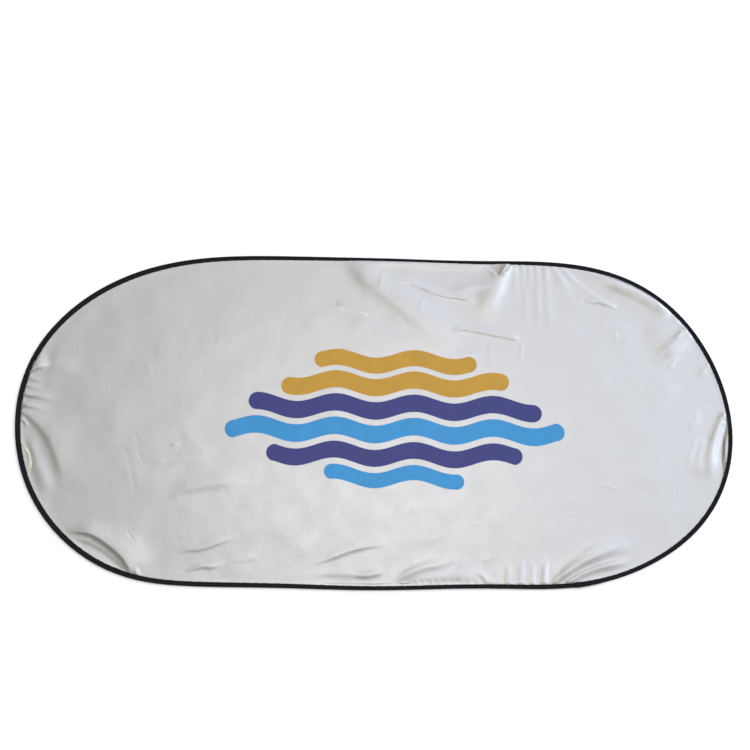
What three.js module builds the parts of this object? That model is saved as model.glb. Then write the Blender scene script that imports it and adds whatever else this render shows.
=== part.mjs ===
// Car window sunshade, lying open on a flat surface.
// A long rounded sheet of silver-coated polyester is held open by one hoop of spring wire. The hoop runs in the
// fold of a woven tape that is sewn round the sheet's edge, and its two ends meet in a crimped steel sleeve. A short
// elastic loop is caught in the binding at each end. Millimetres, +Z up, +X along the shade, origin under its middle.

import * as THREE from 'three';

// ---- driving dimensions ---------------------------------------------------------------------------------------
const WIRE_D = 2.0;            // spring wire
const WIRE_END_GAP = 1.0;      // between the wire's two ends, inside the sleeve
const SLEEVE_LENGTH = 40;
const SLEEVE_INNER_R = 1.25;
const SLEEVE_OUTER_R = 1.7;
const TAPE_T = 0.5;            // woven binding tape
const TUNNEL_R = 1.68;         // middle of the tape round the wire
const TUNNEL_R_SLEEVE = 2.435; // the same, where the tape goes over the sleeve
const TAPE_REACH = 20.0;       // front leg and back leg together, each from the outer edge to its tip
const SLOT_HALF = 0.6;         // half the gap between the two legs
const SHEET_T = 0.5;
const SHEET_EDGE = 2.1;        // from the wire's line to the sheet's cut edge
const THREAD = 0.4;            // sewing thread
const THREAD_GAP = 0.15;
const SEAM_IN = 1.3;           // seam, from the tip of the shorter leg
const LOOP_W = 6.0;            // flat elastic
const LOOP_T = 0.9;
const LOOP_LIFT = 1.15;        // how far the front leg stands up over the sewn-in end of a loop
const CLEAR = 0.25;            // between pieces that lie on each other

// Outer edge of the hoop in its binding, 1450 by 706: control points of a closed uniform cubic B-spline,
// anticlockwise seen from above. Its long sides bow a little and its ends aren't quite alike, as a sprung hoop's do.
const OUTLINE = [
  [-729.0, 34.3], [-722.0, -69.1], [-687.5, -166.4], [-626.5, -249.2], [-544.1, -312.5], [-447.9, -347.1],
  [-344.9, -352.6], [-243.1, -351.8], [-141.3, -351.7], [-39.0, -354.0], [62.8, -351.9], [164.7, -346.4],
  [266.7, -344.8], [369.6, -346.0], [469.3, -328.8], [564.6, -287.5], [646.8, -225.6], [704.1, -139.4],
  [729.3, -38.8], [721.5, 63.4], [687.5, 160.9], [630.6, 247.1], [549.3, 310.6], [451.1, 343.5],
  [349.0, 351.7], [247.3, 349.6], [145.0, 349.2], [43.1, 352.2], [-58.7, 352.5], [-161.2, 353.2],
  [-265.2, 353.4], [-369.5, 347.1], [-471.0, 326.2], [-564.9, 284.1], [-645.2, 219.2], [-704.1, 134.1],
];

// Width of the binding's front leg, outer edge to tip, at even steps of a twenty-fourth of the way round from the
// outline's start: the tape was folded by hand and isn't even.
const FRONT_LEG = [
  10.8, 10.2, 10.0, 9.1, 8.7, 8.0, 7.5, 7.8, 8.7, 8.2, 8.9, 8.3,
  8.8, 9.6, 10.0, 9.3, 7.6, 5.9, 7.8, 9.3, 10.2, 11.7, 11.6, 11.2,
];

// Where the sleeve lies, and the sewn-in ends of the two loops (points near the edge)
const SLEEVE_AT = [421, -334];
const LOOP_LEFT = { from: [-713, -51], to: [-670.5, -153], bulge: 22.5, lean: 70 };
const LOOP_RIGHT = { from: [699.5, -116], to: [721, 6], bulge: 15.5, lean: 56 };

// ---- the hoop's line ------------------------------------------------------------------------------------------
const OCT = Math.cos(Math.PI / 8);                       // the tunnel is an octagon in section
const tunnelHeight = (r) => r * OCT + TAPE_T / 2;        // its middle, standing on the surface
const EDGE = tunnelHeight(TUNNEL_R);                     // from the wire's line to the outer edge
const SLOT_Z = EDGE;                                     // middle of the sheet

const smooth = (x) => { const t = Math.min(1, Math.max(0, x)); return t * t * (3 - 2 * t); };

function edgeAt(u) {
  const n = OUTLINE.length, k = Math.floor(u), t = u - k;
  const w = [(1 - t) ** 3 / 6, (3 * t ** 3 - 6 * t ** 2 + 4) / 6, (-3 * t ** 3 + 3 * t ** 2 + 3 * t + 1) / 6, t ** 3 / 6];
  const d = [-((1 - t) ** 2) / 2, (3 * t ** 2 - 4 * t) / 2, (-3 * t ** 2 + 2 * t + 1) / 2, t ** 2 / 2];
  const c = [-(t - 1), 3 * t - 2, 1 - 3 * t, t];
  const out = { x: 0, y: 0, dx: 0, dy: 0, cx: 0, cy: 0 };
  for (let j = 0; j < 4; j++) {
    const p = OUTLINE[(k + j) % n];
    out.x += w[j] * p[0]; out.y += w[j] * p[1];
    out.dx += d[j] * p[0]; out.dy += d[j] * p[1];
    out.cx += c[j] * p[0]; out.cy += c[j] * p[1];
  }
  return out;
}

const FINE = 100;
const table = [];                                        // even steps of the parameter, with the length so far
for (let i = 0, arc = 0; i <= OUTLINE.length * FINE; i++) {
  const p = edgeAt(i / FINE);
  if (i) arc += Math.hypot(p.x - table[i - 1].x, p.y - table[i - 1].y);
  const speed = Math.hypot(p.dx, p.dy);
  table.push({ arc, x: p.x, y: p.y, nx: p.dy / speed, ny: -p.dx / speed,
    bend: Math.abs(p.dx * p.cy - p.dy * p.cx) / speed ** 3 });
}
const AROUND = table[table.length - 1].arc;

function ring(arc) {                                     // the wire's line and the outward direction
  const a = ((arc % AROUND) + AROUND) % AROUND;
  let lo = 0, hi = table.length - 1;
  while (hi - lo > 1) { const m = (lo + hi) >> 1; if (table[m].arc <= a) lo = m; else hi = m; }
  const p = table[lo], q = table[hi], t = (a - p.arc) / (q.arc - p.arc);
  let nx = p.nx + t * (q.nx - p.nx), ny = p.ny + t * (q.ny - p.ny);
  const n = Math.hypot(nx, ny); nx /= n; ny /= n;
  return { x: p.x + t * (q.x - p.x) - EDGE * nx, y: p.y + t * (q.y - p.y) - EDGE * ny, nx, ny };
}
const arcNear = ([x, y]) => table.reduce((best, p) => {
  const d = Math.hypot(p.x - x, p.y - y);
  return d < best.d ? { d, arc: p.arc } : best;
}, { d: Infinity, arc: 0 }).arc;
const away = (a, b) => { const d = Math.abs(a - b) % AROUND; return Math.min(d, AROUND - d); };

const SLEEVE_ARC = arcNear(SLEEVE_AT);
const loops = [LOOP_LEFT, LOOP_RIGHT].map((l) => {
  const a = arcNear(l.from), b = arcNear(l.to);
  return { ...l, a, b: b < a ? b + AROUND : b };
});
const LOOP_TUCK = 30;                                    // length of a loop's end that lies flat under the leg

const sleeveSwell = (arc) => 1 - smooth((away(arc, SLEEVE_ARC) - SLEEVE_LENGTH / 2 - 1) / 14);
const lift = (arc) => {                                  // the front leg over the loops' ends
  let h = 0;
  for (const l of loops) {
    for (const middle of [l.a + LOOP_TUCK / 2 - 2, l.b - LOOP_TUCK / 2 + 2]) {
      h = Math.max(h, LOOP_LIFT * (1 - smooth((away(arc, middle) - LOOP_TUCK / 2 - 3) / 14)));
    }
  }
  return h;
};
const tunnelRadius = (arc) => TUNNEL_R + (TUNNEL_R_SLEEVE - TUNNEL_R) * sleeveSwell(arc);
const wireHeight = (arc) => tunnelHeight(tunnelRadius(arc));

function frontLeg(arc) {                                 // periodic cubic through the widths
  const n = FRONT_LEG.length, f = ((arc / AROUND) * n % n + n) % n, k = Math.floor(f), t = f - k;
  const [a, b, c, d] = [-1, 0, 1, 2].map((j) => FRONT_LEG[(k + j + n) % n]);
  return b + 0.5 * t * (c - a + t * (2 * a - 5 * b + 4 * c - d + t * (3 * (b - c) + d - a)));
}
const seamAt = (arc) => EDGE - Math.min(frontLeg(arc), TAPE_REACH - frontLeg(arc)) + SEAM_IN;

// stations: closer where the hoop bends, at its four extremes, and where the binding swells
const stations = (() => {
  const list = [];
  for (let arc = 0; arc < AROUND;) {
    list.push(arc);
    const bend = Math.max(1e-6, ...[0, 12, 24, 36].map((d) => {
      const a = (arc + d) % AROUND;
      return table[Math.min(table.length - 1, Math.round(a / AROUND * (table.length - 1)))].bend;
    }));
    arc += Math.min(64, Math.max(20, Math.sqrt(8 * 0.4 / bend)));
  }
  const keep = [];
  const ends = [['x', -1], ['x', 1], ['y', -1], ['y', 1]].map(([k, s]) =>
    table.reduce((m, p) => (s * p[k] > s * m[k] ? p : m)).arc);
  keep.push(...ends);
  for (const d of [-36, -30, -25, -SLEEVE_LENGTH / 2, 0, SLEEVE_LENGTH / 2, 25, 30, 36]) keep.push(SLEEVE_ARC + d);
  for (const l of loops) {
    for (const m of [l.a + LOOP_TUCK / 2 - 2, l.b - LOOP_TUCK / 2 + 2]) {
      for (const d of [-32, -27, -22, -18, 0, 18, 22, 27, 32]) keep.push(m + d);
    }
  }
  const kept = [];
  for (const a of keep) if (!kept.some((b) => away(a, b) < 2.5)) kept.push((a + AROUND) % AROUND);
  const all = [...kept, ...list.filter((a) => !kept.some((b) => away(a, b) < 7))];
  return all.sort((a, b) => a - b);
})();

// ---- solids ---------------------------------------------------------------------------------------------------
const at = (arc, s, z) => { const p = ring(arc); return [p.x + s * p.nx, p.y + s * p.ny, z]; };

function solid(points, faces) {                          // one closed body, turned so that its faces point out
  let volume = 0;
  for (const [a, b, c] of faces) {
    const [p, q, r] = [points[a], points[b], points[c]];
    volume += p[0] * (q[1] * r[2] - q[2] * r[1]) + p[1] * (q[2] * r[0] - q[0] * r[2]) + p[2] * (q[0] * r[1] - q[1] * r[0]);
  }
  const g = new THREE.BufferGeometry();
  g.setAttribute('position', new THREE.Float32BufferAttribute(points.flat(), 3));
  g.setIndex(faces.map(([a, b, c]) => (volume < 0 ? [a, c, b] : [a, b, c])).flat());
  g.computeVertexNormals();
  return g;
}

// sweep rows of section points; closed runs round and joins its first row, capped is open with flat ends
function sweep(rows, closed) {
  const m = rows[0].length, n = rows.length, points = rows.flat(), faces = [];
  for (let i = 0; i < (closed ? n : n - 1); i++) {
    const j = (i + 1) % n;
    for (let k = 0; k < m; k++) {
      const l = (k + 1) % m;
      faces.push([i * m + k, j * m + k, j * m + l], [i * m + k, j * m + l, i * m + l]);
    }
  }
  if (!closed) {
    for (let k = 1; k < m - 1; k++) {
      faces.push([0, k, k + 1], [(n - 1) * m, (n - 1) * m + k + 1, (n - 1) * m + k]);
    }
  }
  return solid(points, faces);
}

// section of the folded tape: its middle line, thickened to both sides
function tapeSection(arc) {
  const h = lift(arc), r = tunnelRadius(arc), zc = wireHeight(arc);
  const front = EDGE - frontLeg(arc), back = EDGE - (TAPE_REACH - frontLeg(arc));
  const zu = SLOT_Z + SLOT_HALF + TAPE_T / 2, zl = SLOT_Z - SLOT_HALF - TAPE_T / 2;
  const flatStart = Math.PI - Math.asin((zu - zc) / r);
  const start = flatStart + (THREE.MathUtils.degToRad(118) - flatStart) * Math.min(1, h / LOOP_LIFT);
  const end = -Math.PI - Math.asin((zl - zc) / r);
  const line = [[front, zu + h], [-2.75, zu + h]];
  const corners = [112.5, 67.5, 22.5, -22.5, -67.5, -112.5].map((a) => THREE.MathUtils.degToRad(a));
  for (const a of [start, ...corners, end]) line.push([r * Math.cos(a), zc + r * Math.sin(a)]);
  line.push([back, zl]);
  const normals = line.slice(1).map((p, i) => {
    const dx = p[0] - line[i][0], dz = p[1] - line[i][1], d = Math.hypot(dx, dz);
    return [-dz / d, dx / d];
  });
  const side = (sign) => line.map((p, i) => {
    const a = normals[Math.max(0, i - 1)], b = normals[Math.min(normals.length - 1, i)];
    let mx = a[0] + b[0], mz = a[1] + b[1];
    const k = sign * TAPE_T / 2 * 2 / (mx * mx + mz * mz);
    return [p[0] + mx * k, p[1] + mz * k];
  });
  return [...side(1), ...side(-1).reverse()];
}

const bindingGeometry = sweep(stations.map((arc) => tapeSection(arc).map(([s, z]) => at(arc, s, z))), true);

// the sheet: a flat plate that follows the hoop
const sheetGeometry = (() => {
  const edge = stations.map((arc) => at(arc, -SHEET_EDGE, 0));
  const shape = new THREE.Shape(edge.map(([x, y]) => new THREE.Vector2(x, y)));
  const flat = THREE.ShapeUtils.triangulateShape(shape.getPoints(), []);
  const n = edge.length;
  const points = [...edge.map(([x, y]) => [x, y, SLOT_Z - SHEET_T / 2]), ...edge.map(([x, y]) => [x, y, SLOT_Z + SHEET_T / 2])];
  const faces = flat.flatMap(([a, b, c]) => [[a, c, b], [a + n, b + n, c + n]]);
  for (let i = 0; i < n; i++) { const j = (i + 1) % n; faces.push([i, j, j + n], [i, j + n, i + n]); }
  return solid(points, faces);
})();

// the wire: open, its ends face each other in the sleeve
const wireGeometry = (() => {
  const run = [SLEEVE_ARC + WIRE_END_GAP / 2,
    ...stations.map((a) => (a <= SLEEVE_ARC + 1 ? a + AROUND : a)).sort((a, b) => a - b)
      .filter((a) => a > SLEEVE_ARC + 1 && a < SLEEVE_ARC + AROUND - 1),
    SLEEVE_ARC + AROUND - WIRE_END_GAP / 2];
  return sweep(run.map((arc) => Array.from({ length: 8 }, (_, i) => {
    const a = (i + 0.5) * Math.PI / 4;
    return at(arc, WIRE_D / 2 * Math.cos(a), wireHeight(arc) + WIRE_D / 2 * Math.sin(a));
  })), false);
})();

// the sleeve: a tube, crimped at four places along its length
const sleeveGeometry = (() => {
  const steps = [-20, -15, -12, -9, -4, 4, 9, 12, 15, 20].map((d) => d * SLEEVE_LENGTH / 40);
  const squeeze = [1, 1, 0.95, 1, 1, 1, 1, 0.95, 1, 1], sides = 12, points = [], faces = [];
  steps.forEach((d, i) => {
    const arc = SLEEVE_ARC + d, zc = tunnelHeight(TUNNEL_R_SLEEVE);
    for (const r of [SLEEVE_OUTER_R * squeeze[i], SLEEVE_INNER_R]) {
      for (let k = 0; k < sides; k++) {
        const a = 2 * Math.PI * k / sides;
        points.push(at(arc, r * Math.cos(a), zc + r * Math.sin(a)));
      }
    }
  });
  const id = (i, inner, k) => i * 2 * sides + inner * sides + (k % sides);
  for (let k = 0; k < sides; k++) {
    for (let i = 0; i < steps.length - 1; i++) {
      faces.push([id(i, 0, k), id(i + 1, 0, k), id(i + 1, 0, k + 1)], [id(i, 0, k), id(i + 1, 0, k + 1), id(i, 0, k + 1)]);
      faces.push([id(i, 1, k), id(i + 1, 1, k + 1), id(i + 1, 1, k)], [id(i, 1, k), id(i, 1, k + 1), id(i + 1, 1, k + 1)]);
    }
    const last = steps.length - 1;
    faces.push([id(0, 0, k), id(0, 0, k + 1), id(0, 1, k + 1)], [id(0, 0, k), id(0, 1, k + 1), id(0, 1, k)]);
    faces.push([id(last, 0, k), id(last, 1, k + 1), id(last, 0, k + 1)], [id(last, 0, k), id(last, 1, k), id(last, 1, k + 1)]);
  }
  return solid(points, faces);
})();

// the seam's two threads, one on each face of the binding
function threadGeometry(middle) {
  const r = THREAD / 2;
  return sweep(stations.map((arc) => {
    const s = seamAt(arc), z = middle(arc);
    return [at(arc, s - r, z), at(arc, s, z - r), at(arc, s + r, z), at(arc, s, z + r)];
  }), true);
}
const upperThread = threadGeometry((arc) => SLOT_Z + SLOT_HALF + TAPE_T + lift(arc) + THREAD_GAP + THREAD / 2);
const lowerThread = threadGeometry(() => SLOT_Z - SLOT_HALF - TAPE_T - THREAD_GAP - THREAD / 2);

// an elastic loop: flat under the binding at both ends, standing on its edge between them
function loopGeometry({ a, b, bulge, lean }) {
  const rows = [], steps = 26, tuck = 5.3, full = THREE.MathUtils.degToRad(lean);
  for (let i = 0; i <= steps; i++) {
    const t = i / steps, m = Math.min(t, 1 - t);
    const d = tuck + (bulge - tuck) * Math.sin(Math.PI * Math.min(1, Math.max(0, (t - 0.07) / 0.86))) ** 1.25;
    const roll = full * smooth((m - 0.27) / 0.2);
    const low = SLOT_Z + SHEET_T / 2 + CLEAR;
    const z = low + LOOP_T / 2 * Math.cos(roll) + LOOP_W / 2 * Math.sin(roll);
    const [wx, wz] = [Math.cos(roll) * LOOP_W / 2, Math.sin(roll) * LOOP_W / 2];
    const [tx, tz] = [-Math.sin(roll) * LOOP_T / 2, Math.cos(roll) * LOOP_T / 2];
    const arc = a + (b - a) * t;
    rows.push([[1, 1], [-1, 1], [-1, -1], [1, -1]].map(([p, q]) => at(arc, -d + p * wx + q * tx, z + p * wz + q * tz)));
  }
  return sweep(rows, false);
}

// ---- the object -----------------------------------------------------------------------------------------------
const sunshade = new THREE.Group();
function add(name, geometry, color, roughness, metalness) {
  const mesh = new THREE.Mesh(geometry, new THREE.MeshStandardMaterial({ color, roughness, metalness }));
  mesh.name = name;
  sunshade.add(mesh);
}
add('shade_panel', sheetGeometry, 0xc4c5c2, 0.42, 0.35);
add('edge_binding', bindingGeometry, 0x141419, 0.85, 0);
add('spring_wire', wireGeometry, 0x8e9094, 0.3, 1);
add('wire_sleeve', sleeveGeometry, 0xa4a6a8, 0.35, 1);
add('elastic_loop_left', loopGeometry(loops[0]), 0xd9d4c0, 0.9, 0);
add('elastic_loop_right', loopGeometry(loops[1]), 0xd9d4c0, 0.9, 0);
add('seam_thread_upper', upperThread, 0x101014, 0.7, 0);
add('seam_thread_lower', lowerThread, 0x101014, 0.7, 0);

export default sunshade;
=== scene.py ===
import bpy
import math
import numpy as np
from mathutils import Vector, Matrix
from mathutils.geometry import delaunay_2d_cdt


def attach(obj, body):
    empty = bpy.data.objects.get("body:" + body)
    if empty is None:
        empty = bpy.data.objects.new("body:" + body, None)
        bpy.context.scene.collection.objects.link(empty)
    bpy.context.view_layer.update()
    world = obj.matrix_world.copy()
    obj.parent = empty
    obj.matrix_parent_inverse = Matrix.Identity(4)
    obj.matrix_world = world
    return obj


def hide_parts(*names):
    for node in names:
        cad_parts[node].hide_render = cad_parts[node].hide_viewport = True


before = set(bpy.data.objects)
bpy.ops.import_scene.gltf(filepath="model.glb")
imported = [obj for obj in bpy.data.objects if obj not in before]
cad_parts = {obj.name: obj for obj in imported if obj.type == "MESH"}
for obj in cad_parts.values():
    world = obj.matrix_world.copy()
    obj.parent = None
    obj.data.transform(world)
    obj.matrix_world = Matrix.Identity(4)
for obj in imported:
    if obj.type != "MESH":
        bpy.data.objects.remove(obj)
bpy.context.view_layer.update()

rng = np.random.default_rng(7)

# =================================================================================================================
# Camera, light and floor
# =================================================================================================================
scene = bpy.context.scene
scene.view_settings.view_transform = "Standard"
scene.view_settings.look = "None"

cam_data = bpy.data.cameras.new("camera")
cam = bpy.data.objects.new("camera", cam_data)
scene.collection.objects.link(cam)
CAM = Vector((0.01798, -0.76606, 2.34923))
AIM = Vector((0.00231, 0.08885, 0.0))
forward = (AIM - CAM).normalized()
right = Vector((0.99983214, 0.0183218, 0.0))
up = right.cross(forward)
cam.matrix_world = Matrix.Translation(CAM) @ Matrix((right, up, -forward)).transposed().to_4x4()
cam_data.lens = 58.484
cam_data.sensor_width = 36.0
cam_data.clip_start = 0.01
scene.camera = cam

world = bpy.data.worlds.new("world")
scene.world = world
world.use_nodes = True
back = world.node_tree.nodes["Background"]


def sky(kind, **props):
    n = world.node_tree.nodes.new(kind)
    for k, v in props.items():
        setattr(n, k, v)
    return n


# a soft room light: brighter and cooler towards the right and the far side, dimmer and warmer on the near left
toward = sky("ShaderNodeVectorMath", operation="DOT_PRODUCT")
toward.inputs[1].default_value = (0.70, 0.51, 0.41)
world.node_tree.links.new(sky("ShaderNodeTexCoord").outputs["Generated"], toward.inputs[0])
lit = sky("ShaderNodeMapRange")
tint = sky("ShaderNodeMapRange")
for n, values in ((lit, (0.0, 1.0, 0.34, 2.04)), (tint, (0.28, 0.85, 0.0, 1.0))):
    world.node_tree.links.new(toward.outputs["Value"], n.inputs[0])
    for i, v in enumerate(values):
        n.inputs[i + 1].default_value = v
hue = sky("ShaderNodeMix", data_type="RGBA")
hue.inputs[6].default_value = (1.0, 0.948, 0.825, 1)
hue.inputs[7].default_value = (0.895, 0.958, 1.10, 1)
world.node_tree.links.new(tint.outputs[0], hue.inputs[0])
world.node_tree.links.new(hue.outputs[2], back.inputs["Color"])
world.node_tree.links.new(lit.outputs[0], back.inputs["Strength"])


def lamp(name, place, aim, energy, colour, size, size_y=None):
    data = bpy.data.lights.new(name, "AREA")
    data.energy = energy
    data.color = colour
    data.shape = "RECTANGLE"
    data.size = size
    data.size_y = size_y or size
    o = bpy.data.objects.new(name, data)
    o.location = place
    o.rotation_euler = (Vector(aim) - Vector(place)).to_track_quat("-Z", "Y").to_euler()
    scene.collection.objects.link(o)
    return o


lamp("key", (3.4, 1.7, 2.7), (0.2, 0, 0), 45, (0.72, 0.88, 1.0), 1.5, 1.5)
lamp("ceiling", (-0.05, 0.4, 2.3), (-0.05, 0.4, 0), 7.5, (1.0, 0.985, 0.98), 1.2, 0.8)
lamp("window", (0.5, 2.6, 2.2), (0.05, 0.1, 0), 1.5, (0.90, 0.95, 1.0), 1.3, 1.0)

bpy.ops.mesh.primitive_plane_add(size=1)
floor = bpy.context.object
floor.name = "floor"
floor.scale = (14, 14, 1)
floor.location = (0, 0, -0.0002)

# =================================================================================================================
# The hoop's line, as in the CAD (mm)
# =================================================================================================================
OUTLINE = np.array([
    [-729.0, 34.3], [-722.0, -69.1], [-687.5, -166.4], [-626.5, -249.2], [-544.1, -312.5], [-447.9, -347.1],
    [-344.9, -352.6], [-243.1, -351.8], [-141.3, -351.7], [-39.0, -354.0], [62.8, -351.9], [164.7, -346.4],
    [266.7, -344.8], [369.6, -346.0], [469.3, -328.8], [564.6, -287.5], [646.8, -225.6], [704.1, -139.4],
    [729.3, -38.8], [721.5, 63.4], [687.5, 160.9], [630.6, 247.1], [549.3, 310.6], [451.1, 343.5],
    [349.0, 351.7], [247.3, 349.6], [145.0, 349.2], [43.1, 352.2], [-58.7, 352.5], [-161.2, 353.2],
    [-265.2, 353.4], [-369.5, 347.1], [-471.0, 326.2], [-564.9, 284.1], [-645.2, 219.2], [-704.1, 134.1],
])
FRONT_LEG = np.array([
    10.8, 10.2, 10.0, 9.1, 8.7, 8.0, 7.5, 7.8, 8.7, 8.2, 8.9, 8.3,
    8.8, 9.6, 10.0, 9.3, 7.6, 5.9, 7.8, 9.3, 10.2, 11.7, 11.6, 11.2,
])
EDGE = 1.802          # wire line to the outer edge
SHEET_Z = 1.802       # middle of the sheet in the binding
TAPE_REACH = 20.0
TAPE_T = 0.5
SHEET_EDGE = 2.1
LOOP_W, LOOP_T = 6.0, 0.9
LOOP_TUCK = 30
SEAM_IN = 1.3

N_OUT = len(OUTLINE)
_u = np.arange(0, N_OUT * 200 + 1) / 200
_k = np.floor(_u).astype(int)
_t = _u - _k
_w = np.stack([(1 - _t) ** 3 / 6, (3 * _t ** 3 - 6 * _t ** 2 + 4) / 6, (-3 * _t ** 3 + 3 * _t ** 2 + 3 * _t + 1) / 6, _t ** 3 / 6])
_d = np.stack([-((1 - _t) ** 2) / 2, (3 * _t ** 2 - 4 * _t) / 2, (-3 * _t ** 2 + 2 * _t + 1) / 2, _t ** 2 / 2])
T_XY = sum(_w[j][:, None] * OUTLINE[(_k + j) % N_OUT] for j in range(4))
_tan = sum(_d[j][:, None] * OUTLINE[(_k + j) % N_OUT] for j in range(4))
_tan /= np.hypot(*_tan.T)[:, None]
T_N = np.stack([_tan[:, 1], -_tan[:, 0]], 1)
T_ARC = np.r_[0, np.cumsum(np.hypot(*np.diff(T_XY, axis=0).T))]
AROUND = T_ARC[-1]


def smooth(x):
    x = np.clip(x, 0, 1)
    return x * x * (3 - 2 * x)


def away(a, b):
    d = np.abs(np.asarray(a) - b) % AROUND
    return np.minimum(d, AROUND - d)


def normal_at(arc):
    a = np.mod(arc, AROUND)
    n = np.stack([np.interp(a, T_ARC, T_N[:, 0]), np.interp(a, T_ARC, T_N[:, 1])], -1)
    return n / np.linalg.norm(n, axis=-1, keepdims=True)


def wire_xy(arc):
    a = np.mod(arc, AROUND)
    p = np.stack([np.interp(a, T_ARC, T_XY[:, 0]), np.interp(a, T_ARC, T_XY[:, 1])], -1)
    return p - EDGE * normal_at(arc)


def at(arc, s, z):
    """Points at an arc, s mm outward of the wire's line, at height z."""
    arc, s, z = np.broadcast_arrays(arc, s, z)
    xy = wire_xy(arc) + s[..., None] * normal_at(arc)
    return np.concatenate([xy, z[..., None]], -1)


def arc_near(p):
    return T_ARC[np.argmin(np.hypot(T_XY[:, 0] - p[0], T_XY[:, 1] - p[1]))]


def front_leg(arc):
    n = len(FRONT_LEG)
    f = np.mod(np.asarray(arc) / AROUND * n, n)
    k = np.floor(f).astype(int)
    t = f - k
    a, b, c, d = (FRONT_LEG[(k + j) % n] for j in (-1, 0, 1, 2))
    return b + 0.5 * t * (c - a + t * (2 * a - 5 * b + 4 * c - d + t * (3 * (b - c) + d - a)))


def seam_at(arc):
    f = front_leg(arc)
    return EDGE - np.minimum(f, TAPE_REACH - f) + SEAM_IN


SLEEVE_ARC = arc_near((421, -334))
LAP_ARC = arc_near((398, -340))
LOOPS = []
for p, q, bulge, lean in (((-713, -51), (-670.5, -153), 22.5, 70), ((699.5, -116), (721, 6), 15.5, 56)):
    a, b = arc_near(p), arc_near(q)
    LOOPS.append((a, b if b > a else b + AROUND, bulge, lean))


def loop_inset(t, bulge):
    """How far in from the wire's line a loop's middle runs, at t from 0 to 1 of its length."""
    return 5.3 + (bulge - 5.3) * np.sin(math.pi * np.clip((t - 0.07) / 0.86, 0, 1)) ** 1.25


def swell(arc):
    return 1 - smooth((away(arc, SLEEVE_ARC) - 21) / 14)


def lift(arc):
    h = np.zeros(np.shape(arc))
    for a, b, _, _ in LOOPS:
        for m in (a + LOOP_TUCK / 2 - 2, b - LOOP_TUCK / 2 + 2):
            h = np.maximum(h, 1.15 * (1 - smooth((away(arc, m) - LOOP_TUCK / 2 - 3) / 14)))
    return h


def edge_of(xy):
    """(arc, distance inward from the wire's line) of each point."""
    arc, dist = np.empty(len(xy)), np.empty(len(xy))
    step = 8
    sx, sn, sa = T_XY[:-1:step], T_N[:-1:step], T_ARC[:-1:step]
    for i in range(0, len(xy), 4000):
        p = xy[i:i + 4000]
        j = np.argmin((p[:, 0:1] - sx[:, 0]) ** 2 + (p[:, 1:2] - sx[:, 1]) ** 2, 1)
        v = p - sx[j]
        tan = np.stack([-sn[j][:, 1], sn[j][:, 0]], 1)
        arc[i:i + 4000] = sa[j] + (v * tan).sum(1)
        dist[i:i + 4000] = -(v * sn[j]).sum(1) - EDGE
    return np.mod(arc, AROUND), dist


# =================================================================================================================
# Mesh helpers
# =================================================================================================================
def make_mesh(name, verts_mm, faces, smooth_faces=True, uvs=None, slots=None):
    me = bpy.data.meshes.new(name)
    verts = np.asarray(verts_mm, dtype=np.float64) * 0.001
    faces = [np.asarray(f) for f in faces] if isinstance(faces, list) else [np.asarray(faces)]
    me.vertices.add(len(verts))
    me.vertices.foreach_set("co", verts.astype(np.float32).ravel())
    counts = np.concatenate([np.full(len(f), f.shape[1]) for f in faces if len(f)])
    loops = np.concatenate([f.ravel() for f in faces if len(f)])
    me.loops.add(len(loops))
    me.loops.foreach_set("vertex_index", loops.astype(np.int32))
    me.polygons.add(len(counts))
    me.polygons.foreach_set("loop_start", np.r_[0, np.cumsum(counts)[:-1]].astype(np.int32))
    me.polygons.foreach_set("loop_total", counts.astype(np.int32))
    if slots is not None:
        me.polygons.foreach_set("material_index", np.asarray(slots, dtype=np.int32))
    me.polygons.foreach_set("use_smooth", np.full(len(counts), smooth_faces))
    for uv_name, uv in (uvs or {}).items():
        layer = me.uv_layers.new(name=uv_name)
        layer.uv.foreach_set("vector", np.asarray(uv)[loops].astype(np.float32).ravel())
    me.update(calc_edges=True)
    me.validate()
    o = bpy.data.objects.new(name, me)
    scene.collection.objects.link(o)
    return o


def sweep(name, rows, closed, uvs=None, caps=True):
    """rows: stations x section x 3, the section closed on itself."""
    rows = np.asarray(rows)
    n, m = rows.shape[:2]
    i = np.arange(n if closed else n - 1)[:, None]
    k = np.arange(m)[None, :]
    j, l = (i + 1) % n, (k + 1) % m
    quads = np.stack([i * m + k, i * m + l, j * m + l, j * m + k], -1).reshape(-1, 4)
    faces = [quads]
    if not closed and caps:
        faces += [np.arange(m)[None, ::-1], ((n - 1) * m + np.arange(m))[None, :]]
    pts = rows.reshape(-1, 3)
    # turn the faces outward
    a, b, c, d = (pts[quads[:, q]] for q in range(4))
    vol = (a * np.cross(b, c)).sum() + (a * np.cross(c, d)).sum()
    if vol < 0:
        faces = [f[:, ::-1] for f in faces]
    return make_mesh(name, pts, faces, uvs={u: v.reshape(-1, 2) for u, v in (uvs or {}).items()})


# =================================================================================================================
# The sheet
# =================================================================================================================
FINE = 2.3


def catmull(pts, step=3.0):
    p = np.asarray(pts, float)
    if len(p) == 2:
        n = max(2, int(np.hypot(*(p[1] - p[0])) / step))
        return p[0] + (p[1] - p[0]) * np.linspace(0, 1, n + 1)[:, None]
    q = np.vstack([2 * p[0] - p[1], p, 2 * p[-1] - p[-2]])
    out = []
    for i in range(1, len(q) - 2):
        n = max(2, int(np.hypot(*(q[i + 1] - q[i])) / step))
        t = np.linspace(0, 1, n, endpoint=False)[:, None]
        a, b, c, d = q[i - 1], q[i], q[i + 1], q[i + 2]
        out.append(0.5 * (2 * b + t * (c - a) + t ** 2 * (2 * a - 5 * b + 4 * c - d) + t ** 3 * (3 * (b - c) + d - a)))
    return np.vstack(out + [p[-1:]])


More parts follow.
